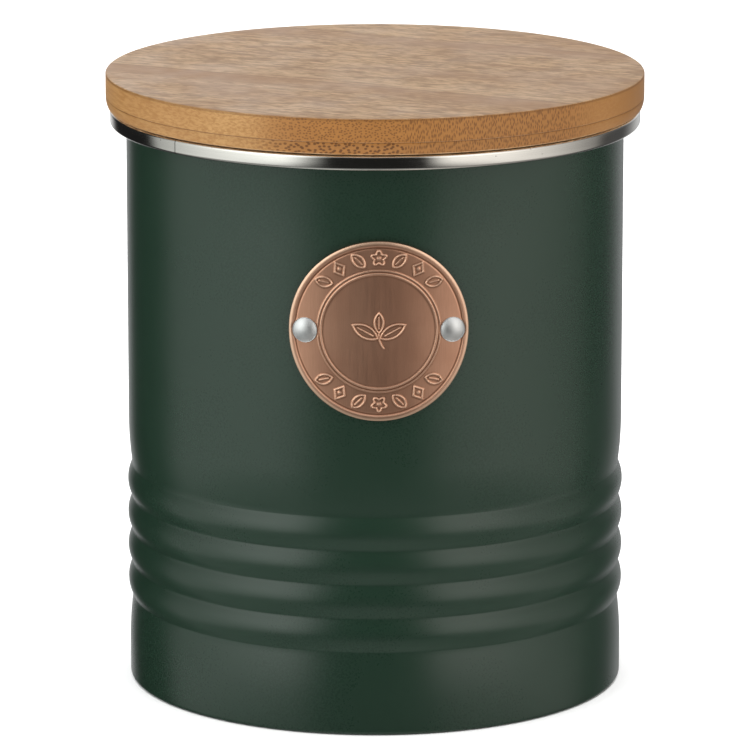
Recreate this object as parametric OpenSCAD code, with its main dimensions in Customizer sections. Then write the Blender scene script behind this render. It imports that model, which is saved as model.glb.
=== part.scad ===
// Round storage canister: a painted steel tin with four rolled beads near its foot,
// a bare steel rim ring, a riveted round badge and a two-ply bamboo lid with a seal.
// Millimetres. The origin is on the axis at the foot, +Z is up and the badge faces -Y.

/* [Canister] */
// Height of the whole canister with its lid on
total_h = 145; // [130:1:170]
// Outer diameter of the painted wall
body_d = 116.5; // [100:0.5:130]
// Thickness of the wall sheet
wall_t = 0.6; // [0.5:0.05:0.7]
// Height of the base panel above the surface it stands on
base_recess = 3.6; // [3.2:0.1:6]
// Thickness of the base panel sheet
base_t = 0.5; // [0.4:0.05:0.7]

/* [Beads] */
// Number of rolled beads around the lower wall
bead_count = 4; // [2:1:5]
// Distance from one crest to the next
bead_pitch = 8; // [7:0.5:9]
// Height of the lowest crest
bead_low_z = 23.5; // [21:0.1:26]
// How far the crests stand outside the plain wall
bead_proud = 0.3; // [0:0.05:0.5]
// How far the hollows lie inside the plain wall
bead_sunk = 0.75; // [0.3:0.05:0.9]
// Height over which the wall runs into the lowest and highest hollow
bead_run = 11; // [6:0.1:12]

/* [Rim ring] */
// How far the rim ring stands out beyond the painted wall
rim_proud = 3.85; // [3.4:0.05:5]
// Height of the ring's outer band
rim_h = 3.4; // [2.9:0.1:4.5]
// Thickness of the ring's strip
rim_t = 0.5; // [0.4:0.05:0.6]
// Depth of the sleeve that lines the mouth
sleeve_h = 6.3; // [5:0.1:8]
// Width of the butt joint where the ends of the strip meet
joint_gap = 0.25; // [0.15:0.05:0.5]
// Angle of the butt joint, to the left of the badge
joint_angle = 48; // [20:1:160]

/* [Lid] */
// Outer diameter of the bamboo lid
lid_d = 126; // [122:0.5:140]
// Thickness of the upper ply
upper_ply_t = 5.5; // [4:0.1:8]
// Thickness of the lower ply
lower_ply_t = 2.9; // [2:0.1:4]
// Gap between the lid and the rim ring
lid_gap = 0.3; // [0.2:0.05:0.5]
// Depth of the plug below the lid
plug_depth = 9; // [8.5:0.1:12]
// Gap between the plug and the mouth, which the seal fills
plug_gap = 2.55; // [2:0.05:3.5]
// Number of fins on the seal
fin_count = 3; // [2:1:3]

/* [Badge] */
// Diameter of the badge
badge_d = 41.5; // [34:0.5:46]
// Height of the badge's centre
badge_z = 95.4; // [88:0.1:104]
// Thickness of the badge plate
badge_t = 0.8; // [0.5:0.05:1]
// Height of the raised rim and ring line on the badge
emboss_h = 0.3; // [0.15:0.05:0.4]
// Distance between the two rivets, along the curve of the wall
rivet_spacing = 33.9; // [28:0.1:36]
// Diameter of the rivet heads
rivet_head_d = 5.8; // [5:0.1:6.4]
// Diameter of the rivet shanks
rivet_shank_d = 3; // [2.4:0.1:3.4]

/* [Hidden] */
$fn = 144;

// Paint, steel, copper, rivet, bamboo and silicone colours
GREEN = [0.16, 0.22, 0.18];
STEEL = [0.78, 0.77, 0.74];
COPPER = [0.56, 0.40, 0.31];
RIVET = [0.72, 0.72, 0.71];
BAMBOO_TOP = [0.68, 0.58, 0.48];
BAMBOO_EDGE = [0.62, 0.45, 0.27];
SILICONE = [0.86, 0.87, 0.85];

// Heights, from the top of the lid downwards
lid_bottom_z = total_h - upper_ply_t - lower_ply_t;
glue_line_z = total_h - upper_ply_t;
rim_top_z = lid_bottom_z - lid_gap;
rim_bottom_z = rim_top_z - rim_h;
flange_top_z = rim_top_z - rim_t;

// Radii of the wall, the ring and the mouth
wall_r = body_d / 2;
rim_r = wall_r + rim_proud;
ring_play = 0.1;
mouth_r = wall_r - wall_t - ring_play - rim_t;
leg_r = rim_r - rim_t - ring_play;

// Bends of the wall sheet
foot_bend = 1;
lip_gap = 2.05;
lip_h = base_recess - 0.1;
flange_bend = 0.6;
lip_out_r = wall_r - wall_t - lip_gap;
lip_in_r = lip_out_r - wall_t;

// Bends of the ring's strip
hook_reach = 1.6;
hook_bend = 0.9;
mouth_bend = 0.8;
edge_ease = 0.3;

// Lid edge, plug and seal
top_ease = 0.5;
under_round = 1.1;
plug_r = mouth_r - plug_gap;
plug_chamfer = 1;
groove_depth = 2;
groove_h = 4.4;
groove_low_z = lid_bottom_z - 6.4;
seal_play = 0.05;
seal_clear = 0.2;
fin_pitch = 1.4;
fin_root_t = 0.9;
fin_tip_t = 0.3;

// Badge and rivets
badge_play = 0.05;
badge_in_r = wall_r + badge_play;
badge_out_r = badge_in_r + badge_t;
badge_rim_w = 1.2;
badge_line_d = 28;
badge_line_w = 0.7;
rivet_angle = rivet_spacing / wall_r * 180 / PI / 2;
hole_play = 0.1;
rivet_head_h = 1.1;
tail_d = 5;
tail_t = 0.8;
tail_play = 0.15;

// Points along an arc, or along a quarter of an ellipse
function arc(centre, r, from, to, steps = 6) =
    [for (i = [0:steps]) let (a = from + (to - from) * i / steps) centre + r * [cos(a), sin(a)]];
function ellipse(centre, rx, ry, from, to, steps = 8) =
    [for (i = [0:steps]) let (a = from + (to - from) * i / steps) centre + [rx * cos(a), ry * sin(a)]];

// How far the wall lies outside its plain radius at height z: round beads that meet in narrow hollows
hollow_ease = 0.45;
half_pitch = bead_pitch / 2;
first_hollow = bead_low_z - half_pitch;
last_hollow = first_hollow + bead_count * bead_pitch;
bead_reach = half_pitch - hollow_ease;
bead_rise = bead_proud + bead_sunk;
bead_r = (pow(bead_reach, 2) + pow(bead_rise, 2)) / (2 * bead_rise);
function from_hollow(z) = abs(z - first_hollow - bead_pitch * round((z - first_hollow) / bead_pitch));
function from_crest(z) = half_pitch - norm([from_hollow(z), hollow_ease]);
function round_bead(z) = bead_proud - bead_r + sqrt(pow(bead_r, 2) - pow(from_crest(z), 2));
function run_out(gap) = -bead_sunk * pow(max(0, 1 - gap / bead_run), 2);
function bead(z) =
    z < first_hollow ? run_out(first_hollow - z)
    : z > last_hollow ? run_out(z - last_hollow)
    : round_bead(z);

// The beaded stretch of the wall, from its bottom to its top, at a distance inside the outer face.
// Places along a bead are in half pitches from its lower hollow
run_steps = 6;
bead_places = [0, 0.1, 0.25, 0.5, 0.75, 1, 1.25, 1.5, 1.75, 1.9];
bead_heights = concat(
    [for (i = [0:run_steps - 1]) first_hollow - bead_run * (1 - i / run_steps)],
    [for (i = [0:bead_count - 1], place = bead_places) first_hollow + i * bead_pitch + place * half_pitch],
    [for (i = [0:run_steps]) last_hollow + bead_run * i / run_steps]);
function wall_line(inset) = [for (z = bead_heights) [wall_r - inset + bead(z), z]];
function reversed(points) = [for (i = [len(points) - 1:-1:0]) points[i]];

// Turns a child that points along +Y to face outwards at an angle, at the badge's height.
// Angle 0 is the front and positive angles go to the right
module on_wall(angle) {
    translate([0, 0, badge_z]) rotate([0, 0, angle]) rotate([90, 0, 0]) children();
}

// Wall sheet with a flange and a down-turned leg at the top, and a channel at the foot
module body_shell() {
    lip_mid = [lip_in_r + foot_bend, foot_bend];
    foot_mid = [wall_r - foot_bend, foot_bend];
    flange_mid = [wall_r + flange_bend, flange_top_z - wall_t - flange_bend];
    leg_mid = [leg_r - wall_t, flange_top_z - wall_t];
    leg_low_z = rim_bottom_z + rim_t + 0.2;
    outside = concat(
        [[lip_in_r, lip_h]],
        arc(lip_mid, foot_bend, 180, 270),
        arc(foot_mid, foot_bend, 270, 360),
        wall_line(0),
        arc(flange_mid, flange_bend, 180, 90),
        [leg_mid, [leg_r - wall_t, leg_low_z], [leg_r, leg_low_z]]);
    inside = concat(
        arc(leg_mid, wall_t, 0, 90),
        arc(flange_mid, flange_bend + wall_t, 90, 180),
        reversed(wall_line(wall_t)),
        arc(foot_mid, foot_bend - wall_t, 0, -90),
        arc(lip_mid, foot_bend - wall_t, 270, 180),
        [[lip_out_r, lip_h]]);
    color(GREEN)
    difference() {
        rotate_extrude() polygon(concat(outside, inside));
        for (side = [-1, 1])
            on_wall(side * rivet_angle) cylinder(h = body_d, d = rivet_shank_d + 2 * hole_play);
    }
}

// Base panel with a stiffening step and a hemmed skirt that stands in the channel of the foot
module base_panel() {
    skirt_out_r = wall_r - wall_t - 0.2;
    skirt_in_r = skirt_out_r - 2 * base_t;
    step_r = lip_in_r - 9;
    step_h = 0.8;
    step_run = 1.6;
    low = base_recess;
    high = base_recess + step_h;
    skirt_low = wall_t + 0.05;
    color(STEEL)
    rotate_extrude() polygon([
        [0, high], [step_r - step_run, high], [step_r, low], [skirt_in_r, low],
        [skirt_in_r, skirt_low], [skirt_out_r, skirt_low], [skirt_out_r, low + base_t],
        [step_r + base_t / 4, low + base_t], [step_r - step_run + base_t / 4, high + base_t],
        [0, high + base_t]]);
}

// Rolled steel ring over the flange: mouth sleeve, top land, outer band and a hook below the leg
module rim_ring() {
    mouth_mid = [mouth_r + mouth_bend, rim_top_z - mouth_bend];
    edge_mid = [rim_r - edge_ease, rim_top_z - edge_ease];
    hook_mid = [rim_r - hook_bend, rim_bottom_z + hook_bend];
    sleeve_z = rim_top_z - sleeve_h;
    color(STEEL)
    difference() {
        rotate_extrude() polygon(concat(
            [[mouth_r, sleeve_z]],
            arc(mouth_mid, mouth_bend, 180, 90),
            arc(edge_mid, edge_ease, 90, 0, 3),
            arc(hook_mid, hook_bend, 0, -90),
            [[rim_r - hook_reach, rim_bottom_z], [rim_r - hook_reach, rim_bottom_z + rim_t]],
            arc(hook_mid, hook_bend - rim_t, -90, 0),
            [[rim_r - rim_t, rim_top_z - rim_t]],
            arc(mouth_mid, mouth_bend - rim_t, 90, 180),
            [[mouth_r + rim_t, sleeve_z]]));
        rotate([0, 0, -joint_angle])
            translate([-joint_gap / 2, -rim_r - 1, sleeve_z - 1])
                cube([joint_gap, rim_proud + 4, sleeve_h + 2]);
    }
}

// A layer that follows the wall's curve, cut to a round outline at the front
module curved_disc(d, out_r) {
    intersection() {
        translate([0, 0, badge_z - badge_d])
            difference() {
                cylinder(h = 2 * badge_d, r = out_r);
                translate([0, 0, -1]) cylinder(h = 2 * badge_d + 2, r = badge_in_r);
            }
        on_wall(0) cylinder(h = body_d, d = d);
    }
}

// Raised line on the badge
module badge_line(d, w) {
    difference() {
        curved_disc(d, badge_out_r + emboss_h);
        on_wall(0) cylinder(h = body_d, d = d - 2 * w);
    }
}

// A cylinder along the axis of each rivet, from a distance outside the canister's axis
module at_rivets(d, from_r) {
    for (side = [-1, 1]) on_wall(side * rivet_angle)
        translate([0, 0, from_r]) cylinder(h = body_d, d = d);
}

// Round plate bent to the wall, with a raised rim, a ring line and two rivet holes.
// The raised lines are cut back around the rivet heads
module badge_plate() {
    color(COPPER) {
        difference() {
            curved_disc(badge_d, badge_out_r);
            at_rivets(rivet_shank_d + 2 * hole_play, 0);
        }
        difference() {
            union() {
                badge_line(badge_d, badge_rim_w);
                badge_line(badge_line_d, badge_line_w);
            }
            at_rivets(rivet_head_d + 2 * hole_play, badge_out_r);
        }
    }
}

// Rivet with a domed head outside, a shank through badge and wall, and a clinched tail inside
module badge_rivet(angle) {
    head_z = badge_out_r + badge_play;
    tail_z = wall_r - wall_t - tail_play;
    dome_r = (pow(rivet_head_d / 2, 2) + pow(rivet_head_h, 2)) / (2 * rivet_head_h);
    color(RIVET)
    on_wall(angle) {
        intersection() {
            translate([0, 0, head_z + rivet_head_h - dome_r]) sphere(r = dome_r);
            translate([0, 0, head_z]) cylinder(h = rivet_head_h + 1, d = rivet_head_d);
        }
        translate([0, 0, tail_z - tail_t]) cylinder(h = head_z + 0.2 - tail_z + tail_t, d = rivet_shank_d);
        translate([0, 0, tail_z - tail_t]) cylinder(h = tail_t, d = tail_d);
    }
}

module badge_rivet_left() { badge_rivet(-rivet_angle); }

module badge_rivet_right() { badge_rivet(rivet_angle); }

// Upper ply of the lid
module lid_board() {
    r = lid_d / 2;
    color(BAMBOO_TOP)
    rotate_extrude() polygon(concat(
        [[0, glue_line_z], [r, glue_line_z]],
        arc([r - top_ease, total_h - top_ease], top_ease, 0, 90, 4),
        [[0, total_h]]));
}

// Lower ply of the lid, with its lower edge rounded over
module lid_under_ply() {
    r = lid_d / 2;
    color(BAMBOO_EDGE)
    rotate_extrude() polygon(concat(
        [[0, lid_bottom_z]],
        ellipse([r - under_round, glue_line_z], under_round, lower_ply_t, -90, 0),
        [[0, glue_line_z]]));
}

// Plug that centres the lid in the mouth, with a groove for the seal
module lid_plug() {
    low = lid_bottom_z - plug_depth;
    groove_r = plug_r - groove_depth;
    groove_high_z = groove_low_z + groove_h;
    color(BAMBOO_EDGE)
    rotate_extrude() polygon([
        [0, low], [plug_r - plug_chamfer, low], [plug_r, low + plug_chamfer],
        [plug_r, groove_low_z], [groove_r, groove_low_z], [groove_r, groove_high_z], [plug_r, groove_high_z],
        [plug_r, lid_bottom_z], [0, lid_bottom_z]]);
}

// Silicone ring in the plug's groove, with fins that close the gap to the mouth
module lid_seal() {
    in_r = plug_r - groove_depth + seal_play;
    root_r = plug_r + 0.3;
    tip_r = mouth_r - seal_clear;
    low = groove_low_z + seal_play;
    high = groove_low_z + groove_h - seal_play;
    mid = (low + high) / 2;
    fin_zs = [for (i = [0:fin_count - 1]) mid + (i - (fin_count - 1) / 2) * fin_pitch];
    fins = [for (z = fin_zs) each [
        [root_r, z - fin_root_t / 2], [tip_r, z - fin_tip_t / 2],
        [tip_r, z + fin_tip_t / 2], [root_r, z + fin_root_t / 2]]];
    color(SILICONE)
    rotate_extrude() polygon(concat([[in_r, low], [root_r, low]], fins, [[root_r, high], [in_r, high]]));
}

body_shell();
base_panel();
rim_ring();
badge_plate();
badge_rivet_left();
badge_rivet_right();
lid_board();
lid_under_ply();
lid_plug();
lid_seal();
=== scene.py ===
"""Looks of a round tea canister: a satin green tin with rolled beads, a polished steel rim ring,
a brushed copper badge on two rivets, and a two-ply bamboo lid with a silicone seal."""
import math

import bpy
import numpy as np
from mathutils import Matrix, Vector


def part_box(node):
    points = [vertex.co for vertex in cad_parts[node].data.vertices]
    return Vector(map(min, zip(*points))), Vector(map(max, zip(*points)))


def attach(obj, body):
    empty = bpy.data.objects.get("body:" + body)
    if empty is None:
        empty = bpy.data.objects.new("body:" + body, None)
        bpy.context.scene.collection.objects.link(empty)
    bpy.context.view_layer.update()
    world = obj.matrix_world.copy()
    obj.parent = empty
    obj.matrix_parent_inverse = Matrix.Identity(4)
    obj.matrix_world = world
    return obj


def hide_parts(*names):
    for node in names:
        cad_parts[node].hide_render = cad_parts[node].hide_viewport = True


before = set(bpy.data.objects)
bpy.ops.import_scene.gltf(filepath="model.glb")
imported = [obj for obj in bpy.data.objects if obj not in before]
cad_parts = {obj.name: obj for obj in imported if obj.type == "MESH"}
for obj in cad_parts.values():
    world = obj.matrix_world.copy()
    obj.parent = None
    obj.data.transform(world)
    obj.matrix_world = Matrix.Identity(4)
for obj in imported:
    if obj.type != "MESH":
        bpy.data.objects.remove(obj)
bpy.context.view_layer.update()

# ---------------------------------------------------------------- sizes, in millimetres, from the frame

MM = 0.001


def span(node):
    """(half width, lowest height, highest height) of a round node."""
    low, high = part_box(node)
    return (high[0] - low[0]) / 2 / MM, low[2] / MM, high[2] / MM


LID_R, GLUE_Z, TOP_Z = span("lid_board")
_, LID_LOW_Z, _ = span("lid_under_ply")
RIM_R, SLEEVE_LOW_Z, RIM_TOP_Z = span("rim_ring")
LEG_R, _, FLANGE_TOP_Z = span("body_shell")
BASE_R, SKIRT_LOW_Z, BASE_TOP_Z = span("base_panel")
PLUG_R, PLUG_LOW_Z, _ = span("lid_plug")
SEAL_R, SEAL_LOW_Z, SEAL_HIGH_Z = span("lid_seal")
_, BADGE_LOW_Z, BADGE_HIGH_Z = span("badge_plate")

# The rim ring stands proud of the wall outside, and its sleeve has some play to the wall inside
RIM_H = 3.4
RIM_T = 0.5
RIM_PROUD = 3.85
RIM_PLAY = 0.1
WALL_R = RIM_R - RIM_PROUD
WALL_T = 0.6
RIM_LOW_Z = RIM_TOP_Z - RIM_H
MOUTH_R = WALL_R - WALL_T - RIM_PLAY - RIM_T

# The ring's butt joint, by its angle from the front, and the wall's side seam: how far its lap stands
# out, the width of the sharp step and the width over which it dies away
JOINT_ANGLE = -48.0
JOINT_GAP = 0.22
LAP_PROUD = 0.14
LAP_STEP = 0.2
LAP_RUN = 1.8

# Beads: the height of the lowest crest, and the run over which the wall comes back to its plain radius
BEAD_COUNT = 4
BEAD_PITCH = 8.0
BEAD_LOW_Z = 23.5
BEAD_RUN = 11.0
CREST_PROUD = 0.3
HOLLOW_SUNK = 0.75
HOLLOW_EASE = 0.45
FIRST_HOLLOW = BEAD_LOW_Z - BEAD_PITCH / 2
LAST_HOLLOW = FIRST_HOLLOW + BEAD_COUNT * BEAD_PITCH

# The badge is bent to the wall, and its rivets are placed along the arc of its face
BADGE_R = (BADGE_HIGH_Z - BADGE_LOW_Z) / 2
BADGE_Z = (BADGE_HIGH_Z + BADGE_LOW_Z) / 2
BADGE_T = 0.8
BADGE_PLAY = 0.05
BADGE_BACK_R = WALL_R + BADGE_PLAY
BADGE_FACE_R = BADGE_BACK_R + BADGE_T
RIVET_ARC = 16.95
RIVET_HEAD_R = 2.9
RIVET_HEAD_H = 1.05


# ---------------------------------------------------------------- mesh helpers

TURN_STEPS = 256


def arc(centre, radius, start, end, steps=8):
    """Points along an arc of a section, angles in degrees."""
    turns = [math.radians(start + (end - start) * i / steps) for i in range(steps + 1)]
    return [(centre[0] + radius * math.cos(t), centre[1] + radius * math.sin(t)) for t in turns]


def finish_mesh(name, vertices, faces, slots, materials, crease=35):
    """A mesh object with smooth shading, kept sharp where faces meet at more than the crease angle."""
    mesh = bpy.data.meshes.new(name)
    mesh.from_pydata([(x * MM, y * MM, z * MM) for x, y, z in vertices], [], faces)
    for material in materials:
        mesh.materials.append(material)
    mesh.polygons.foreach_set("material_index", slots)
    mesh.shade_smooth()
    mesh.set_sharp_from_angle(angle=math.radians(crease))
    piece = bpy.data.objects.new(name, mesh)
    bpy.context.scene.collection.objects.link(piece)
    return piece


def round_angles(steps):
    """Angles all round, in degrees, evenly spaced."""
    return [360 * i / steps for i in range(steps)]


def lathe(name, outline, materials, bands=None, angles=None, bulge=None, gap=None, place=None):
    """A closed solid of revolution. outline is a closed anticlockwise loop of (radius, height), and
    points on the axis become poles. bands gives the material of each stretch of the outline. bulge
    adds to the radius of a point. gap is (angle, width in degrees) of a cut that leaves the ring open,
    with flat ends. place moves each finished point. A flat face has a point of the outline (flat_r in
    the functions below) not far from its rounded edge, so that the edge's soft shading ends there."""
    if gap:
        start, end = gap[0] + gap[1] / 2, gap[0] - gap[1] / 2 + 360
        angles = [start + (end - start) * i / TURN_STEPS for i in range(TURN_STEPS + 1)]
    angles = angles or round_angles(TURN_STEPS)
    count = len(outline)
    vertices, grid = [], []
    for j, angle in enumerate(angles):
        turn = math.radians(angle)
        row = []
        for i, (r, z) in enumerate(outline):
            if r == 0 and j > 0:
                row.append(grid[0][i])
                continue
            out = r + (bulge(r, z, angle) if bulge else 0)
            point = (out * math.sin(turn), -out * math.cos(turn), z)
            row.append(len(vertices))
            vertices.append(place(point) if place else point)
        grid.append(row)
    faces, slots = [], []
    rows = len(angles) - 1 if gap else len(angles)
    for j in range(rows):
        here, there = grid[j], grid[(j + 1) % len(angles)]
        for i in range(count):
            k = (i + 1) % count
            corners = list(dict.fromkeys([here[i], there[i], there[k], here[k]]))
            if len(corners) > 2:
                faces.append(corners)
                slots.append(bands[i] if bands else 0)
    if gap:
        faces += [grid[0], grid[-1][::-1]]
        slots += [0, 0]
    return finish_mesh(name, vertices, faces, slots, materials)


def assign(piece, body, node):
    """piece rides on a body and stands for a CAD node, which is hidden."""
    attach(piece, body)
    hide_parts(node)
    return piece


# ---------------------------------------------------------------- node helpers

class Nodes:
    """Short calls for building a node tree."""

    def __init__(self, tree):
        self.tree = tree

    def add(self, kind, inputs=None, **settings):
        """A node with its settings made and its inputs filled or linked."""
        node = self.tree.nodes.new(kind)
        for key, value in settings.items():
            setattr(node, key, value)
        for key, value in (inputs or {}).items():
            if isinstance(value, bpy.types.NodeSocket):
                self.tree.links.new(value, node.inputs[key])
            else:
                node.inputs[key].default_value = value
        return node

    def math(self, operation, a, b=0.0):
        return self.add("ShaderNodeMath", {0: a, 1: b}, operation=operation).outputs[0]

    def total(self, first, *others):
        for other in others:
            first = self.math("ADD", first, other)
        return first

    def product(self, first, *others):
        for other in others:
            first = self.math("MULTIPLY", first, other)
        return first

    def remap(self, value, low, high, to_low=0.0, to_high=1.0):
        """value, eased from one range to another and held at its ends."""
        inputs = {"Value": value, "From Min": low, "From Max": high, "To Min": to_low, "To Max": to_high}
        return self.add("ShaderNodeMapRange", inputs, interpolation_type="SMOOTHSTEP").outputs["Result"]

    def ramp(self, value, low, high, to_low=0.0, to_high=1.0):
        """value, taken in proportion from one range to another and held at its ends."""
        inputs = {"Value": value, "From Min": low, "From Max": high, "To Min": to_low, "To Max": to_high}
        return self.add("ShaderNodeMapRange", inputs, interpolation_type="LINEAR").outputs["Result"]

    def mix(self, share, a, b):
        """A colour between a and b."""
        return self.add("ShaderNodeMix", {0: share, 6: a, 7: b}, data_type="RGBA").outputs[2]

    def between(self, share, a, b):
        """A value between a and b."""
        return self.add("ShaderNodeMix", {0: share, 2: a, 3: b}, data_type="FLOAT").outputs[0]

    def place(self):
        """A point's place on the piece, in metres, whatever the pose."""
        return self.add("ShaderNodeTexCoord").outputs["Object"]

    def split(self, vector):
        return self.add("ShaderNodeSeparateXYZ", {0: vector}).outputs

    def join(self, x, y, z):
        return self.add("ShaderNodeCombineXYZ", {0: x, 1: y, 2: z}).outputs[0]

    def scaled(self, vector, scale):
        return self.add("ShaderNodeVectorMath", {0: vector, 1: scale}, operation="MULTIPLY").outputs[0]

    def per_mm(self, vector, counts, turn=0.0):
        """vector turned about the vertical and scaled to that many texture periods a millimetre."""
        inputs = {"Vector": vector, "Angle": math.radians(turn)}
        turned = self.add("ShaderNodeVectorRotate", inputs, rotation_type="Z_AXIS").outputs[0]
        return self.scaled(turned, tuple(count / MM for count in counts))

    def noise(self, vector, detail=2.0, roughness=0.5, distortion=0.0):
        inputs = {"Vector": vector, "Scale": 1.0, "Detail": detail, "Roughness": roughness,
                  "Distortion": distortion}
        return self.add("ShaderNodeTexNoise", inputs).outputs[0]

    def bump(self, height, depth_mm):
        inputs = {"Height": height, "Distance": depth_mm * MM, "Strength": 1.0}
        return self.add("ShaderNodeBump", inputs).outputs[0]


def new_material(name, constants):
    """A material, its node helper and its shader, with the values that are the same all over it."""
    material = bpy.data.materials.new(name)
    material.use_nodes = True
    shader = material.node_tree.nodes["Principled BSDF"]
    for socket, value in constants.items():
        shader.inputs[socket].default_value = value
    return material, Nodes(material.node_tree), shader


def feed(nodes, shader, **sockets):
    """Links values to the shader's sockets, whose names are written with _ for a space."""
    for name, value in sockets.items():
        nodes.tree.links.new(value, shader.inputs[name.replace("_", " ")])


# ---------------------------------------------------------------- materials

def green_coat():
    """Satin powder coat with a very fine orange peel and a slightly uneven sheen."""
    material, n, shader = new_material("green_coat", {"IOR": 1.5})
    place = n.place()
    cloud = n.noise(n.per_mm(place, (0.03, 0.03, 0.03)), 3)
    grain = n.noise(n.per_mm(place, (2.2, 2.2, 2.2)), 2)
    tone = n.mix(n.remap(cloud, 0.3, 0.7), (0.0095, 0.0295, 0.0170, 1), (0.0115, 0.0325, 0.0190, 1))
    colour = n.mix(n.product(n.remap(grain, 0.35, 0.7), 0.25), tone, (0.017, 0.040, 0.025, 1))
    sheen = n.total(n.remap(cloud, 0.3, 0.7, 0.275, 0.300), n.remap(grain, 0.3, 0.7, -0.015, 0.015))
    feed(n, shader, Base_Color=colour, Roughness=sheen, Normal=n.bump(grain, 0.0009))
    return material


def rim_steel():
    """Polished stainless strip with faint drawing lines round the ring, a few pits and finger marks."""
    material, n, shader = new_material("rim_steel", {"Metallic": 1.0})
    place = n.place()
    lines = n.noise(n.per_mm(place, (0.02, 0.02, 7.0)), 4, 0.7)
    cloud = n.noise(n.per_mm(place, (0.12, 0.12, 0.3)), 3)
    pits = n.remap(n.noise(n.per_mm(place, (0.9, 0.9, 0.9)), 1), 0.74, 0.80)
    bright = n.mix(n.remap(lines, 0.3, 0.7), (0.66, 0.64, 0.60, 1), (0.72, 0.70, 0.66, 1))
    colour = n.mix(n.product(pits, 0.5), bright, (0.25, 0.23, 0.21, 1))
    rough = n.total(n.remap(cloud, 0.3, 0.7, 0.10, 0.15), n.remap(lines, 0.3, 0.7, -0.02, 0.03))
    feed(n, shader, Base_Color=colour, Roughness=rough, Normal=n.bump(lines, 0.0012))
    return material


def tin_plate():
    """Plain tinned sheet inside the canister and under it, with rolling marks and dull patches."""
    material, n, shader = new_material("tin_plate", {"Metallic": 1.0})
    place = n.place()
    cloud = n.noise(n.per_mm(place, (0.07, 0.07, 0.05)), 4, 0.6)
    lines = n.noise(n.per_mm(place, (0.03, 3.0, 3.0)), 3)
    colour = n.mix(n.remap(cloud, 0.3, 0.7), (0.64, 0.64, 0.62, 1), (0.74, 0.74, 0.72, 1))
    rough = n.total(n.remap(cloud, 0.3, 0.7, 0.30, 0.42), n.remap(lines, 0.3, 0.7, -0.04, 0.04))
    feed(n, shader, Base_Color=colour, Roughness=rough, Normal=n.bump(lines, 0.002))
    return material


def badge_copper():
    """Antique copper brushed up and down, polished pale on the relief and dark with patina beside it; the
    pale part is also a painted highlight on the raised lines, and the dark part painted shade beside them.
    """
    material, n, shader = new_material("badge_copper", {"Metallic": 1.0})
    place = n.place()
    brush = n.noise(n.per_mm(place, (6.0, 0.6, 0.22)), 3, 0.6)
    broad = n.noise(n.per_mm(place, (0.9, 0.3, 0.08)), 2)
    cloud = n.noise(n.per_mm(place, (0.10, 0.10, 0.10)), 3)
    patina = n.mix(n.remap(cloud, 0.3, 0.7), (0.66, 0.355, 0.235, 1), (0.74, 0.415, 0.280, 1))
    colour = n.mix(n.product(n.remap(brush, 0.35, 0.65), 0.28), patina, (0.55, 0.285, 0.185, 1))
    # The wear attribute is partly polish and patina and partly painted light: a painted highlight on the
    # raised lines and the rim's edge, painted shade beside the lines
    wear = n.add("ShaderNodeAttribute", attribute_name="wear").outputs["Fac"]
    colour = n.mix(n.ramp(wear, 0.5, 0.15), colour, (0.28, 0.125, 0.070, 1))
    colour = n.mix(n.ramp(wear, 0.55, 0.95), colour, (0.96, 0.66, 0.48, 1))
    rough = n.total(n.remap(brush, 0.3, 0.7, 0.44, 0.50), n.remap(broad, 0.3, 0.7, -0.012, 0.012))
    feed(n, shader, Base_Color=colour, Roughness=rough, Normal=n.bump(brush, 0.0015))
    return material


def rivet_metal():
    """Tumbled aluminium rivet, bright but not mirror smooth."""
    material, n, shader = new_material("rivet_metal", {"Metallic": 1.0})
    place = n.place()
    cloud = n.noise(n.per_mm(place, (0.5, 0.5, 0.5)), 3)
    fine = n.noise(n.per_mm(place, (5.0, 5.0, 5.0)), 2)
    colour = n.mix(n.remap(cloud, 0.3, 0.7), (0.74, 0.75, 0.75, 1), (0.86, 0.87, 0.87, 1))
    rough = n.total(n.remap(cloud, 0.3, 0.7, 0.46, 0.54), n.remap(fine, 0.3, 0.7, -0.03, 0.03))
    feed(n, shader, Base_Color=colour, Roughness=rough, Normal=n.bump(fine, 0.002))
    return material


def silicone():
    """Milky silicone with a dry, slightly dusty surface."""
    constants = {"IOR": 1.41, "Subsurface Weight": 0.35, "Subsurface Radius": (0.002, 0.002, 0.002)}
    material, n, shader = new_material("seal_silicone", constants)
    place = n.place()
    cloud = n.noise(n.per_mm(place, (0.2, 0.2, 0.2)), 3)
    fine = n.noise(n.per_mm(place, (3.0, 3.0, 3.0)), 2)
    colour = n.mix(n.remap(cloud, 0.3, 0.7), (0.68, 0.69, 0.67, 1), (0.76, 0.77, 0.75, 1))
    rough = n.remap(fine, 0.3, 0.7, 0.40, 0.55)
    feed(n, shader, Base_Color=colour, Roughness=rough, Normal=n.bump(fine, 0.004))
    return material


# How the wood lies: turns in degrees, places and distances in millimetres
VENEER_TURN = 27.0
VENEER_T = 0.4
SEAM_PLACE = -19.3
SEAM_PITCH = 62.0
CORE_TURN = -12.0
DASHES_FROM = -7.5


def shade(colour, share):
    """A colour taken down to a share of its strength."""
    return tuple(part * share for part in colour[:3]) + (1,)


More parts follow.
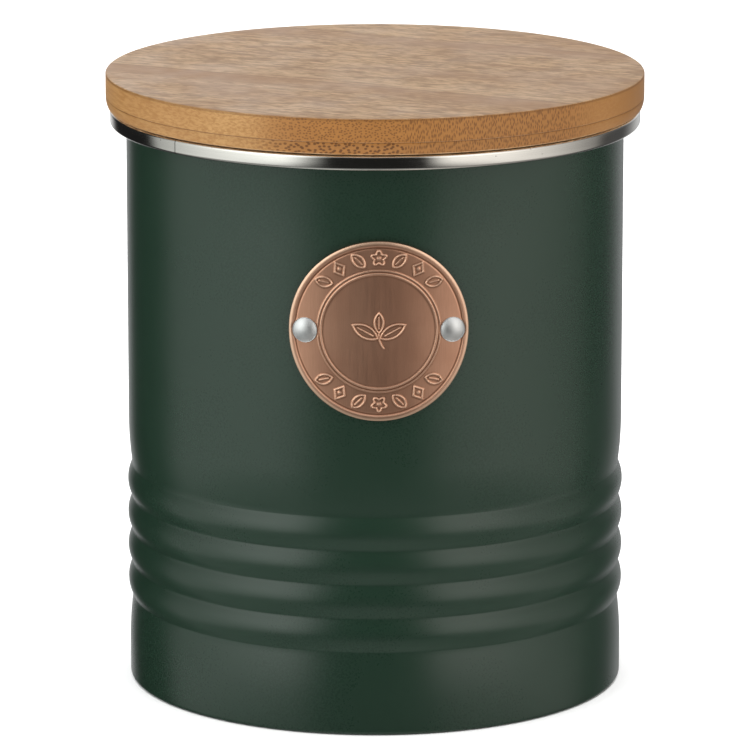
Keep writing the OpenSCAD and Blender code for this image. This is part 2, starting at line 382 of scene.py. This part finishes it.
def veneer_grain(n, place, wood):
    """The broad faces: mottled fibres in glued strips, with a darker band along one side of each seam."""
    along = n.per_mm(place, (1, 1, 1), VENEER_TURN)
    sideways = n.split(along)[1]

    def stretched(scale, *shape):
        return n.noise(n.scaled(along, scale), *shape)

    mottle = stretched((0.17, 0.44, 0.5), 3, 0.6)
    fleck = stretched((0.32, 1.10, 0.8), 2, 0.5)
    streak = stretched((0.024, 0.30, 0.4), 3, 0.6)
    line = stretched((0.020, 0.85, 0.4), 2, 0.5)
    fibre = stretched((0.05, 2.6, 0.5), 3, 0.6)
    cloud = stretched((-0.018, 0.045, 0.05), 2)
    strip = n.math("DIVIDE", n.math("SUBTRACT", sideways, SEAM_PLACE), SEAM_PITCH)
    across = n.math("FRACT", strip)
    band = n.product(n.remap(across, 0.80, 0.90), n.remap(cloud, 0.34, 0.56, 0.35, 1.0))
    beside_seam = n.product(n.remap(across, 0.0, 0.22, 1.0, 0.0), n.remap(line, 0.48, 0.62))
    deep = (wood[0] * 0.48, wood[1] * 0.40, wood[2] * 0.30, 1)
    warm = (wood[0] * 0.66, wood[1] * 0.56, wood[2] * 0.50, 1)
    pale = (wood[0] * 1.16, wood[1] * 1.24, wood[2] * 1.34, 1)
    colour = n.mix(n.remap(fibre, 0.30, 0.70), wood, shade(wood, 0.86))
    layers = [(n.remap(mottle, 0.60, 0.40), 0.50, pale),
              (n.remap(mottle, 0.42, 0.68), 0.68, deep),
              (n.remap(fleck, 0.46, 0.68), 0.72, deep),
              (n.remap(streak, 0.44, 0.68), 0.50, warm),
              (n.remap(line, 0.55, 0.68), 0.42, deep),
              (n.remap(cloud, 0.44, 0.66), 0.40, warm),
              (band, 0.70, warm),
              (beside_seam, 0.55, pale),
              (n.remap(across, 0.976, 0.988), 0.38, deep)]
    for where, strength, tone in layers:
        colour = n.mix(n.product(where, strength), colour, tone)
    return colour, n.total(fibre, mottle)


def turned_edge(n, place, smooth, cut, dark, coarse):
    """The turned edge: smooth long fibres on two sides and, on the other two, the cut ends of the fibre
    bundles, as dots in one strip and as fine upright dashes in the next."""
    core = n.per_mm(place, (1, 1, 1), CORE_TURN)
    x, y, z = n.split(core)
    facing = n.math("ABSOLUTE", n.math("COSINE", n.math("ARCTAN2", x, y)))
    end_grain = n.remap(facing, 0.73, 0.89)
    fibre = n.noise(n.scaled(core, (1.3, 0.06, 2.2)), 4, 0.6, 0.3)
    cloud = n.noise(n.scaled(core, (0.12, 0.03, 0.2)), 2)
    dashed = n.math("GREATER_THAN", x, DASHES_FROM)

    def cells(width, height, near, far, spread):
        """Dark marks, one to a cell of width by height, between two distances from its point."""
        where = n.join(n.math("DIVIDE", x, width), n.math("DIVIDE", z, height), 0.0)
        inputs = {"Vector": where, "Scale": 1.0, "Randomness": spread}
        cell = n.add("ShaderNodeTexVoronoi", inputs, voronoi_dimensions="2D", feature="F1")
        return n.remap(cell.outputs["Distance"], near, far, 1.0, 0.0)

    dots = cells(1.05, 0.80, 0.22, 0.42, 0.85) if coarse else cells(0.72, 0.60, 0.16, 0.42, 0.95)
    dashes = cells(0.40, 1.3, 0.12, 0.50, 0.9)
    dot_depth = 0.86 if coarse else 0.62
    marks = n.between(dashed, n.product(dots, dot_depth), n.product(dashes, 0.70))
    marks = n.product(marks, end_grain)
    wood = n.mix(end_grain, smooth, cut)
    # Painted shade: the edge is darker towards the right, darkest far to the right and a little darker far
    # to the left, where less light falls on it
    wood = n.mix(n.remap(x, -15, 40, 0.0, 0.70), wood, shade(cut, 0.80))
    wood = n.mix(n.remap(x, -62, -44, 0.30, 0.0), wood, shade(cut, 0.80))
    wood = n.mix(n.remap(x, 42, 56, 0.0, 0.55), wood, shade(cut, 0.55))
    colour = n.mix(n.product(n.remap(fibre, 0.36, 0.64), 0.60), wood, shade(cut, 0.80))
    colour = n.mix(n.product(n.remap(cloud, 0.35, 0.70), 0.25), colour, shade(cut, 0.80))
    colour = n.mix(marks, colour, dark)
    # Two dark glue lines: between the plies and under the top veneer
    from_glue = n.math("ABSOLUTE", n.math("SUBTRACT", z, GLUE_Z))
    from_veneer = n.math("ABSOLUTE", n.math("SUBTRACT", z, TOP_Z - VENEER_T))
    colour = n.mix(n.product(n.remap(from_glue, 0.06, 0.20, 1.0, 0.0), 0.52), colour, dark)
    colour = n.mix(n.product(n.remap(from_veneer, 0.05, 0.34, 1.0, 0.0), 0.34), colour, dark)
    return colour, n.math("SUBTRACT", n.product(fibre, 0.4), marks)


def bamboo(name, coarse):
    """Laminated bamboo with a satin oil finish. coarse gives the edge its strip of large dots."""
    material, n, shader = new_material(name, {"IOR": 1.45})
    place = n.place()
    flat_colour, flat_height = veneer_grain(n, place, (0.650, 0.400, 0.204, 1))
    strength = 0.93 if coarse else 1.0
    smooth, cut = shade((0.525, 0.293, 0.104), strength), shade((0.395, 0.164, 0.033), strength)
    edge_colour, edge_height = turned_edge(n, place, smooth, cut, (0.105, 0.032, 0.001, 1), coarse)
    up = n.math("ABSOLUTE", n.split(n.add("ShaderNodeNewGeometry").outputs["Normal"])[2])
    is_flat = n.remap(up, 0.55, 0.85)
    wear = n.noise(n.per_mm(place, (0.08, 0.08, 0.08)), 2)
    rough = n.total(n.remap(wear, 0.3, 0.7, 0.46, 0.56), n.product(is_flat, -0.02))
    colour = n.mix(is_flat, edge_colour, flat_colour)
    relief = n.between(is_flat, edge_height, flat_height)
    feed(n, shader, Base_Color=colour, Roughness=rough, Normal=n.bump(relief, 0.012))
    return material


# ---------------------------------------------------------------- the canister

def bead(z):
    """How far the wall lies outside its plain radius: round beads that meet in narrow hollows."""
    if z < FIRST_HOLLOW or z > LAST_HOLLOW:
        gap = max(FIRST_HOLLOW - z, z - LAST_HOLLOW)
        return -HOLLOW_SUNK * max(0, 1 - gap / BEAD_RUN) ** 2
    half, rise = BEAD_PITCH / 2, CREST_PROUD + HOLLOW_SUNK
    reach = half - HOLLOW_EASE
    radius = (reach ** 2 + rise ** 2) / (2 * rise)
    from_hollow = abs((z - FIRST_HOLLOW + half) % BEAD_PITCH - half)
    from_crest = half - math.hypot(from_hollow, HOLLOW_EASE)
    return CREST_PROUD - radius + math.sqrt(radius ** 2 - from_crest ** 2)


def wall_line(inset):
    """The wall's section from the foot to the flange, with its points packed towards the hollows."""
    run_steps, steps, packing = 9, 12, 1.5
    plain_heights = [75, 95, 115]
    climb = [BEAD_PITCH / 2 * (i / steps) ** packing for i in range(steps + 1)]
    heights = [FIRST_HOLLOW - BEAD_RUN * (1 - i / run_steps) for i in range(run_steps)]
    for k in range(BEAD_COUNT):
        low = FIRST_HOLLOW + k * BEAD_PITCH
        heights += [low + d for d in climb] + [low + BEAD_PITCH - d for d in climb[-2:0:-1]]
    heights += [LAST_HOLLOW + BEAD_RUN * i / run_steps for i in range(run_steps + 1)] + plain_heights
    return [(WALL_R - inset + bead(z), z) for z in heights]


def lap_ridge(r, z, angle):
    """The lapped side seam at the back: a sharp step on one side that dies away on the other."""
    foot_clear, inner_clear = 1.5, 2.0
    across = math.radians(angle - 180) * WALL_R
    on_outside = r >= WALL_R - inner_clear and foot_clear <= z <= RIM_LOW_Z
    if not on_outside or not -LAP_STEP <= across <= LAP_RUN:
        return 0
    if across < 0:
        return LAP_PROUD * (across + LAP_STEP) / LAP_STEP
    return LAP_PROUD * (1 + math.cos(math.pi * across / LAP_RUN)) / 2


def canister_wall(paint, tin):
    """The painted sheet: foot with its inner lip, beaded wall, and the flange with its leg in the ring."""
    foot_bend, lip_gap, lip_h, flange_bend, leg_clear = 1.0, 2.05, 3.5, 0.6, 0.2
    lip_out = WALL_R - WALL_T - lip_gap
    lip_in = lip_out - WALL_T
    leg_low = RIM_LOW_Z + RIM_T + leg_clear
    lip_mid, foot_mid = (lip_in + foot_bend, foot_bend), (WALL_R - foot_bend, foot_bend)
    flange_mid = (WALL_R + flange_bend, FLANGE_TOP_Z - WALL_T - flange_bend)
    leg_mid = (LEG_R - WALL_T, FLANGE_TOP_Z - WALL_T)
    outside = ([(lip_in, lip_h)] + arc(lip_mid, foot_bend, 180, 270) + arc(foot_mid, foot_bend, 270, 360)
               + wall_line(0) + arc(flange_mid, flange_bend, 180, 90)
               + [leg_mid, (LEG_R - WALL_T, leg_low), (LEG_R, leg_low)])
    inside = (arc(leg_mid, WALL_T, 0, 90) + arc(flange_mid, flange_bend + WALL_T, 90, 180)
              + wall_line(WALL_T)[::-1] + arc(foot_mid, foot_bend - WALL_T, 0, -90)
              + arc(lip_mid, foot_bend - WALL_T, 270, 180) + [(lip_out, lip_h)])
    bands = [0] * (len(outside) - 1) + [1] * (len(inside) + 1)
    lap_steps = 6
    lap_places = [-1.1 * LAP_STEP, -LAP_STEP, -LAP_STEP / 2]
    lap_places += [LAP_RUN * i / lap_steps for i in range(lap_steps + 1)]
    lap_angles = [180 + math.degrees(across / WALL_R) for across in lap_places]
    angles = sorted([angle for angle in round_angles(TURN_STEPS) if angle != 180] + lap_angles)
    return lathe("canister_wall", outside + inside, [paint, tin], bands, angles, lap_ridge)


def base_panel(tin):
    """Recessed bottom with a stiffening step, a ring groove and a skirt in the channel of the foot."""
    sheet_t, step_h, step_in, ease, edge = 0.5, 0.8, 12.25, 0.12, 0.2
    flat_r, groove_r, groove_half_w, groove_h = 20, 31, 1, 0.25
    skirt_in = BASE_R - 2 * sheet_t
    step_r = WALL_R - step_in
    middle = BASE_TOP_Z - sheet_t
    low = middle - step_h
    top, rim_top = middle + sheet_t, low + sheet_t
    under = [(0, middle), (flat_r, middle), (groove_r - groove_half_w, middle),
             (groove_r, middle + groove_h), (groove_r + groove_half_w, middle),
             (step_r - 1.9, middle), (step_r - 1.3, middle - ease), (step_r - 0.3, low + ease),
             (step_r + 0.3, low), (skirt_in, low), (skirt_in, SKIRT_LOW_Z)]
    over = [(BASE_R, SKIRT_LOW_Z), (BASE_R, rim_top - edge), (BASE_R - edge, rim_top),
            (step_r + 0.4, rim_top), (step_r - 0.2, rim_top + ease), (step_r - 1.2, top - ease),
            (step_r - 1.8, top), (groove_r + groove_half_w, top), (0, top)]
    return lathe("base_sheet", under + over, [tin])


def rim_ring(steel):
    """Rolled strip with a butt joint: mouth sleeve, top land, outer band and a hook under the flange."""
    mouth_bend, edge_bend, hook_bend, hook_reach = 0.8, 0.7, 0.7, 1.6
    mouth_mid = (MOUTH_R + mouth_bend, RIM_TOP_Z - mouth_bend)
    edge_mid = (RIM_R - edge_bend, RIM_TOP_Z - edge_bend)
    hook_mid = (RIM_R - hook_bend, RIM_LOW_Z + hook_bend)
    hook_end = RIM_R - hook_reach
    outside = ([(MOUTH_R, SLEEVE_LOW_Z)] + arc(mouth_mid, mouth_bend, 180, 90, 10)
               + arc(edge_mid, edge_bend, 90, 0, 10) + arc(hook_mid, hook_bend, 0, -90, 12)
               + [(hook_end, RIM_LOW_Z)])
    inside = ([(hook_end, RIM_LOW_Z + RIM_T)] + arc(hook_mid, hook_bend - RIM_T, -90, 0)
              + arc(edge_mid, edge_bend - RIM_T, 0, 90) + arc(mouth_mid, mouth_bend - RIM_T, 90, 180)
              + [(MOUTH_R + RIM_T, SLEEVE_LOW_Z)])
    width = math.degrees(JOINT_GAP / RIM_R)
    return lathe("rim_band", (outside + inside)[::-1], [steel], gap=(JOINT_ANGLE, width))


# ---------------------------------------------------------------- the badge

def ridge(distance, width=0.17):
    """A rounded raised line where distance is near nought."""
    return np.exp(-(distance / width) ** 2)


def leaf_distance(u, v, length, width):
    """Distance from the outline of a pointed oval whose tips lie on the v axis."""
    radius = (length ** 2 + width ** 2) / (4 * width)
    return np.hypot(np.abs(u) + radius - width / 2, v) - radius


def turned(s, t, centre, angle):
    """Local (u, v) about a centre, v pointing at an angle clockwise from straight up."""
    a = math.radians(angle)
    ds, dt = s - centre[0], t - centre[1]
    return ds * math.cos(a) - dt * math.sin(a), ds * math.sin(a) + dt * math.cos(a)


def leaf_relief(s, t, centre, angle, length, width):
    """An outlined leaf with a midrib."""
    u, v = turned(s, t, centre, angle)
    rib = ridge(u, 0.13) * (np.abs(v) < 0.32 * length)
    return np.maximum(ridge(leaf_distance(u, v, length, width)), 0.7 * rib)


def rosette_relief(s, t, centre, angle):
    """An outlined flower of five petals round a dot."""
    u, v = turned(s, t, centre, angle)
    r, around = np.hypot(u, v), np.arctan2(u, v)
    return np.maximum(ridge(r - 1.4 - 0.32 * np.cos(5 * around)), ridge(r, 0.42))


def lozenge_relief(s, t, centre, angle, width, height):
    """An outlined lozenge round a dot."""
    u, v = turned(s, t, centre, angle)
    across = (np.abs(u) * height + np.abs(v) * width - width * height / 2) / math.hypot(width, height)
    return np.maximum(ridge(across), ridge(np.hypot(u, v), 0.38))


def badge_relief(s, t):
    """Height of the badge's relief, at most 1, at an arc distance s to the right and t above its centre:
    a rounded rim, two lines, a border of leaves, lozenges and rosettes, and a sprig of three leaves."""
    r = np.hypot(s, t)
    rim_half_w, outer_line_r, inner_line_r = 0.65, 14.05, 13.3
    marks_r, marks_apart, rivet_clear = 16.9, 16, 3.0
    crown = BADGE_R - rim_half_w
    rim_inside = np.clip((r - crown + rim_half_w) / 0.3, 0, 1)
    rim_outside = np.sqrt(np.clip(1 - ((r - crown) / 0.66).clip(0, 1) ** 2, 0.12, 1))
    height = np.maximum(rim_inside * rim_outside, ridge(r - outer_line_r, 0.2) * 0.75)
    height = np.maximum(height, ridge(r - inner_line_r, 0.26))
    for half in (0, 180):
        for place in range(-3, 4):
            angle = half + marks_apart * place
            turn = math.radians(angle)
            centre = (marks_r * math.sin(turn), marks_r * math.cos(turn))
            if place == 0:
                mark = rosette_relief(s, t, centre, angle)
            elif place % 2:
                mark = leaf_relief(s, t, centre, angle + math.copysign(30, place), 3.9, 2.2)
            else:
                mark = lozenge_relief(s, t, centre, angle, 2.6, 3.4)
            height = np.maximum(height, mark)
    sprig = [((-3.1, -0.1), -62, 6.4, 2.7), ((3.1, -0.1), 62, 6.4, 2.7), ((0, 1.9), 0, 4.6, 2.0)]
    for centre, angle, length, width in sprig:
        height = np.maximum(height, leaf_relief(s, t, centre, angle, length, width))
    stem = ridge(np.hypot(s - 0.12 * (t + 1) ** 2, np.maximum(np.abs(t + 2.3) - 1.5, 0)), 0.2)
    sunk_line = 0.4 * ridge(r - crown + 0.85, 0.16)
    height = np.maximum(height, stem) - sunk_line
    from_rivet = np.minimum(np.hypot(s - RIVET_ARC, t), np.hypot(s + RIVET_ARC, t))
    return height * np.clip((from_rivet - rivet_clear) / 0.25, 0, 1)


def badge_wear_and_painted_light(s, t):
    """How bright the copper is, 0.5 on the plain field: polished and with a painted highlight on the
    lines, dark with patina and painted shade beside them.
    """
    here, reach = badge_relief(s, t), 0.36
    turns = [math.radians(45 * k) for k in range(8)]
    near = [badge_relief(s + reach * math.cos(turn), t + reach * math.sin(turn)) for turn in turns]
    # Polish and a painted highlight along the outer edge of the rim
    rim_polish_and_highlight = 0.4 * np.clip((np.hypot(s, t) - BADGE_R + 0.7) / 0.25, 0, 1)
    return np.clip(0.5 + 0.75 * (here - np.mean(near, axis=0)) + rim_polish_and_highlight, 0, 1)


def badge_plate(copper):
    """The plate as one closed mesh: a polar grid bent to the wall, raised by the relief, with a back."""
    rings, spokes, line_h = 150, 640, 0.26
    radii = [BADGE_R * (k + 1) / rings for k in range(rings)]
    around = np.arange(spokes) * 2 * math.pi / spokes
    vertices = []

    def bent(s, t, r):
        turn = s / BADGE_FACE_R
        return np.stack([r * np.sin(turn), -r * np.cos(turn), BADGE_Z + t], axis=1)

    def layer(radius, out):
        s, t = radius * np.sin(around), radius * np.cos(around)
        first = len(vertices)
        vertices.extend(map(tuple, bent(s, t, out(s, t))))
        return [first + j for j in range(spokes)]

    def face_r(s, t):
        return BADGE_FACE_R + line_h * badge_relief(s, t)

    def back_r(s, t):
        return BADGE_BACK_R + 0 * s

    front = [layer(radius, face_r) for radius in radii]
    back = [layer(BADGE_R * share, back_r) for share in (1, 0.8, 0.6, 0.4, 0.2)]
    vertices += [(0, -face_r(0, 0), BADGE_Z), (0, -BADGE_BACK_R, BADGE_Z)]
    front_pole, back_pole = len(vertices) - 2, len(vertices) - 1
    loops = front + back
    faces = []
    for j in range(spokes):
        k = (j + 1) % spokes
        faces.append((front_pole, front[0][k], front[0][j]))
        faces.append((back_pole, back[-1][j], back[-1][k]))
        faces += [(a[j], a[k], b[k], b[j]) for a, b in zip(loops, loops[1:])]
    piece = finish_mesh("badge_disc", vertices, faces, [0] * len(faces), [copper], crease=50)
    # The wear attribute: polish and patina, with a painted highlight on the relief and painted shade
    # beside it
    wear = np.full(len(vertices), 0.5)
    s, t = np.outer(radii, np.sin(around)).ravel(), np.outer(radii, np.cos(around)).ravel()
    wear[:len(s)] = badge_wear_and_painted_light(s, t)
    piece.data.attributes.new("wear", "FLOAT", "POINT").data.foreach_set("value", wear)
    return piece


def badge_rivet(name, side, metal):
    """Domed head with a small rolled edge, a shank and a clinched tail."""
    shank_r, tail_r, tail_t, head_play, tail_play = 1.5, 2.5, 0.8, 0.03, 0.15
    seat = BADGE_FACE_R + head_play
    tail = WALL_R - WALL_T - tail_play
    dome_r = (RIVET_HEAD_R ** 2 + RIVET_HEAD_H ** 2) / (2 * RIVET_HEAD_H)
    spread = math.degrees(math.asin(RIVET_HEAD_R / dome_r))
    dome = arc((0, seat + RIVET_HEAD_H - dome_r), dome_r, 90 - spread * 0.94, 90, 14)
    edge = arc((RIVET_HEAD_R - 0.14, seat + 0.16), 0.15, -60, 40, 6)
    clinched = [(0, tail - tail_t), (tail_r - 0.6, tail - tail_t), (tail_r - 0.1, tail - 0.6),
                (tail_r, tail - 0.3), (tail_r - 0.1, tail)]
    shank = [(shank_r, tail), (shank_r, seat), (RIVET_HEAD_R - 0.2, seat)]
    outline = clinched + shank + edge + dome[:-1] + [(0, seat + RIVET_HEAD_H)]
    turn = side * RIVET_ARC / BADGE_FACE_R
    sine, cosine = math.sin(turn), math.cos(turn)

    def place(point):
        x, y, out = point
        return (out * sine + x * cosine, -out * cosine + x * sine, BADGE_Z - y)

    return lathe(name, outline, [metal], angles=round_angles(72), place=place)


# ---------------------------------------------------------------- the lid

GLUE_NICK = 0.12


def lid_board(wood):
    """Upper ply, its top edge eased and its glue edge nicked."""
    top_ease, flat_r = 0.45, LID_R - 5
    glue_face = [(0, GLUE_Z), (LID_R - GLUE_NICK, GLUE_Z), (LID_R, GLUE_Z + GLUE_NICK)]
    round_over = arc((LID_R - top_ease, TOP_Z - top_ease), top_ease, 0, 90, 8)
    top = [(flat_r, TOP_Z), (0, TOP_Z)]
    return lathe("lid_upper", glue_face + round_over + top, [wood])


def lid_under_ply(wood):
    """Lower ply, its lower edge rounded over by most of a quarter of a tall ellipse."""
    inward, rise, sweep, steps, flat_r = 1.1, GLUE_Z - LID_LOW_Z, 84, 12, PLUG_R
    low = [(0, LID_LOW_Z), (flat_r, LID_LOW_Z)]
    edge = []
    for i in range(steps + 1):
        turn = math.radians(-90 + sweep * i / steps)
        edge.append((LID_R - inward + inward * math.cos(turn), GLUE_Z + rise * math.sin(turn)))
    glue_face = [(LID_R - GLUE_NICK, GLUE_Z), (0, GLUE_Z)]
    return lathe("lid_lower", low + edge + glue_face, [wood])


def lid_plug(wood):
    """Plug with a rounded lower edge and a groove for the seal."""
    groove_d, ease, play, flat_r = 2.0, 1.0, 0.05, 30
    groove_r = PLUG_R - groove_d
    groove_low, groove_high = SEAL_LOW_Z - play, SEAL_HIGH_Z + play
    bottom = [(0, PLUG_LOW_Z), (flat_r, PLUG_LOW_Z)]
    round_over = arc((PLUG_R - ease, PLUG_LOW_Z + ease), ease, -90, 0, 6)
    groove = [(PLUG_R, groove_low), (groove_r, groove_low), (groove_r, groove_high), (PLUG_R, groove_high)]
    top = [(PLUG_R, LID_LOW_Z), (0, LID_LOW_Z)]
    return lathe("lid_stopper", bottom + round_over + groove + top, [wood])


def lid_seal(rubber):
    """Ring with three thin fins that taper from a thick root to a round tip."""
    inner, root = PLUG_R - 1.95, PLUG_R + 0.3
    mid, pitch, fins = (SEAL_LOW_Z + SEAL_HIGH_Z) / 2, 1.4, 3
    root_half, neck_half, neck, tip_r = 0.5, 0.3, 0.5, 0.16
    outline = [(inner, SEAL_LOW_Z), (root, SEAL_LOW_Z)]
    for i in range(fins):
        z = mid + (i - (fins - 1) / 2) * pitch
        outline += [(root, z - root_half), (root + neck, z - neck_half), (SEAL_R - 0.3, z - tip_r)]
        outline += arc((SEAL_R - tip_r, z), tip_r, -90, 90, 6)
        outline += [(root + neck, z + neck_half), (root, z + root_half)]
    return lathe("seal_fins", outline + [(root, SEAL_HIGH_Z), (inner, SEAL_HIGH_Z)], [rubber])


# ---------------------------------------------------------------- stage: camera, floor and light

def make_camera():
    """Long lens, looking down at 13 degrees from just left of the badge."""
    distance, height, pitch, swing = 1.4303, 0.4019, 13.0, 0.87
    data = bpy.data.cameras.new("camera")
    data.lens, data.sensor_width = 298.1, 36.0
    data.clip_start, data.clip_end = 0.1, 60.0
    camera = bpy.data.objects.new("camera", data)
    turn = math.radians(swing)
    camera.location = (-distance * math.sin(turn), -distance * math.cos(turn), height)
    camera.rotation_euler = (math.radians(90 - pitch), 0, -turn)
    bpy.context.scene.collection.objects.link(camera)
    bpy.context.scene.camera = camera


def make_floor():
    """Plain pale floor. Reflections pass it by and show the world's own table instead."""
    material, n, shader = new_material("floor_pale", {"Roughness": 0.9, "Specular IOR Level": 0.1})
    tone = n.noise(n.per_mm(n.place(), (0.004, 0.004, 0.004)), 2)
    feed(n, shader, Base_Color=n.mix(tone, (0.90, 0.90, 0.90, 1), (0.92, 0.92, 0.92, 1)))
    half = 6.0
    corners = [(-half, -half, 0), (half, -half, 0), (half, half, 0), (-half, half, 0)]
    mesh = bpy.data.meshes.new("floor")
    mesh.from_pydata(corners, [], [(0, 1, 2, 3)])
    mesh.materials.append(material)
    floor = bpy.data.objects.new("floor", mesh)
    floor.visible_glossy = False
    bpy.context.scene.collection.objects.link(floor)
    return floor


def make_world():
    """A studio as a soft pattern of directions: two tall softboxes, a white wall behind, a bright ceiling,
    a pale table below and a dark side where the camera stands. Seen directly it is plain white. Angles
    are in degrees: around is 0 at the front and grows to the right, rise is 0 at the horizon."""
    world = bpy.data.worlds.new("studio")
    world.use_nodes = True
    bpy.context.scene.world = world
    n = Nodes(world.node_tree)
    x, y, z = n.split(n.add("ShaderNodeTexCoord").outputs["Generated"])
    around = n.math("DEGREES", n.math("ARCTAN2", x, n.product(y, -1.0)))
    rise = n.math("DEGREES", n.math("ARCSINE", z))
    left, away = n.product(around, -1.0), n.math("ABSOLUTE", around)

    lift = n.remap(rise, -14, 12)
    left_gain = n.total(n.product(lift, n.ramp(left, 66, 100, 0.66, 0.0)), 1.0)
    left_box = n.product(n.remap(left, 20, 42), n.remap(left, 107, 117, 1.0, 0.0), left_gain,
                         n.ramp(left, 48, 112, 1.36, 0.46))
    right_gain = n.total(n.product(lift, n.ramp(around, 46, 72, 0.45, 0.08)), 1.0)
    right_box = n.product(n.remap(around, 19, 32), n.remap(around, 108, 119, 1.0, 0.0), right_gain,
                          n.ramp(around, 58, 116, 1.20, 0.12))
    above = n.math("SUBTRACT", rise, n.ramp(away, 30, 90, -13, -20))
    boxes = n.product(n.total(left_box, right_box), n.remap(rise, 40, 62, 1.0, 0.0), n.remap(above, -4, 4))

    wall = n.total(n.remap(around, 100, 118, 0.0, 0.07), n.remap(around, 133, 162, 0.0, 0.53),
                   n.remap(around, 162, 171, 0.0, -0.12), n.remap(left, 150, 172, 0.0, 1.05))
    wall = n.product(wall, n.remap(rise, -6, 8, 1.0, 1.6), n.remap(rise, 30, 48, 1.0, 0.0),
                     n.remap(rise, -34, -18, 0.35, 1.0))

    beside = n.product(n.remap(away, 24, 38), n.remap(away, 102, 116, 1.0, 0.0))
    side_table = n.total(n.remap(rise, -20, -12, 0.33, 0.0), n.remap(rise, -78, -60, 0.60, 0.0))
    front_table = n.product(n.remap(rise, -38, -19, 0.34, 0.0), n.remap(away, 102, 116, 1.0, 0.12))
    table = n.between(beside, front_table, side_table)
    ceiling = n.remap(rise, 46, 64, 0.0, 1.02)
    everywhere = 0.015
    light = n.total(boxes, wall, table, ceiling, everywhere)

    tint = n.mix(n.remap(around, -50, 50), (0.970, 1.0, 0.975, 1), (1.0, 0.970, 0.925, 1))
    neutral = n.math("MAXIMUM", n.remap(away, 110, 130), n.remap(rise, 38, 52))
    tint = n.mix(neutral, tint, (0.985, 0.99, 1.0, 1))
    seen = n.add("ShaderNodeLightPath").outputs["Is Camera Ray"]
    background = world.node_tree.nodes["Background"].inputs
    world.node_tree.links.new(n.mix(seen, tint, (1.0, 1.0, 1.0, 1)), background["Color"])
    world.node_tree.links.new(n.between(seen, light, 1.0), background["Strength"])


def make_lamp(floor):
    """A large overhead softbox that whitens the floor only, with the canister's soft shadow on it."""
    data = bpy.data.lights.new("overhead", "AREA")
    data.shape, data.size, data.size_y = "RECTANGLE", 2.2, 2.2
    data.energy = 52.0
    lamp = bpy.data.objects.new("overhead", data)
    lamp.location = (0, 0.25, 1.6)
    lamp.visible_camera = False
    lamp.visible_glossy = False
    only_floor = bpy.data.collections.new("only_floor")
    only_floor.objects.link(floor)
    lamp.light_linking.receiver_collection = only_floor
    bpy.context.scene.collection.objects.link(lamp)


# ---------------------------------------------------------------- build

make_camera()
make_lamp(make_floor())
make_world()
bpy.context.scene.view_settings.view_transform = "Standard"

paint, steel, tin = green_coat(), rim_steel(), tin_plate()
copper, rivet, rubber = badge_copper(), rivet_metal(), silicone()
upper_wood, lower_wood = bamboo("bamboo_upper", coarse=False), bamboo("bamboo_lower", coarse=True)

assign(canister_wall(paint, tin), "canister", "body_shell")
assign(base_panel(tin), "canister", "base_panel")
assign(rim_ring(steel), "canister", "rim_ring")
assign(badge_plate(copper), "canister", "badge_plate")
assign(badge_rivet("rivet_left", -1, rivet), "canister", "badge_rivet_left")
assign(badge_rivet("rivet_right", 1, rivet), "canister", "badge_rivet_right")
assign(lid_board(upper_wood), "lid", "lid_board")
assign(lid_under_ply(lower_wood), "lid", "lid_under_ply")
assign(lid_plug(lower_wood), "lid", "lid_plug")
assign(lid_seal(rubber), "lid", "lid_seal")
